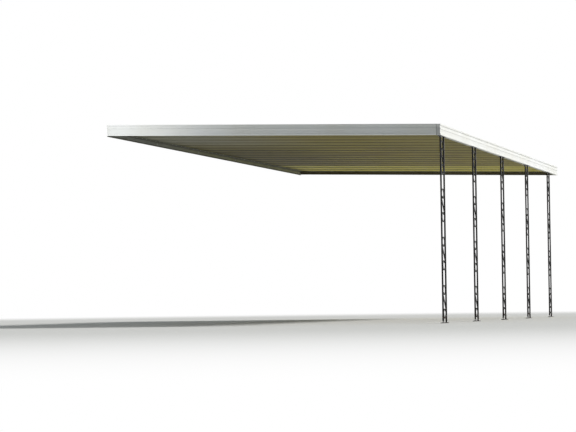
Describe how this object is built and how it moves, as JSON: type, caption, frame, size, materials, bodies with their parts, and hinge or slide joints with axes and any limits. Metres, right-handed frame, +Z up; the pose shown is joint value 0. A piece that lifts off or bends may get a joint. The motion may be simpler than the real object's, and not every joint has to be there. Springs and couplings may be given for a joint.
{
  "type": "attached carport",
  "caption": "Lean-to carport roof of interlocking metal pans, hung on a wall and carried by flat ornamental iron posts with scrollwork under a gutter beam.",
  "frame": {"origin": "middle of the wall hanger's flat back, on the wall", "axes": "+X out from the wall to the posts, +Y along the wall, +Z up"},
  "size_m": [4.2, 8.78, 2.493],
  "materials": {
    "roof_sheet": "aged baked enamel, chalky and dusty",
    "white_trim": "white baked enamel, slightly weathered",
    "black_iron": "glossy black paint"
  },
  "bodies": {
    "root": {"wall_hanger": "white_trim", "roof_pan_01": "roof_sheet", "roof_pan_02": "roof_sheet", "roof_pan_03": "roof_sheet", "roof_pan_04": "roof_sheet", "roof_pan_05": "roof_sheet", "roof_pan_06": "roof_sheet", "roof_pan_07": "roof_sheet", "roof_pan_08": "roof_sheet", "roof_pan_09": "roof_sheet", "roof_pan_10": "roof_sheet", "roof_pan_11": "roof_sheet", "roof_pan_12": "roof_sheet", "roof_pan_13": "roof_sheet", "roof_pan_14": "roof_sheet", "roof_pan_15": "roof_sheet", "roof_pan_16": "roof_sheet", "roof_pan_17": "roof_sheet", "near_fascia": "white_trim", "far_fascia": "white_trim", "gutter_beam": "white_trim", "near_gutter_end": "white_trim", "far_gutter_end": "white_trim", "post_1_base_plate": "black_iron", "post_1_top_plate": "black_iron", "post_1_uprights": "black_iron", "post_1_scrollwork": "black_iron", "post_2_base_plate": "black_iron", "post_2_top_plate": "black_iron", "post_2_uprights": "black_iron", "post_2_scrollwork": "black_iron", "post_3_base_plate": "black_iron", "post_3_top_plate": "black_iron", "post_3_uprights": "black_iron", "post_3_scrollwork": "black_iron", "post_4_base_plate": "black_iron", "post_4_top_plate": "black_iron", "post_4_uprights": "black_iron", "post_4_scrollwork": "black_iron", "post_5_base_plate": "black_iron", "post_5_top_plate": "black_iron", "post_5_uprights": "black_iron", "post_5_scrollwork": "black_iron"}
  },
  "joints": []
}
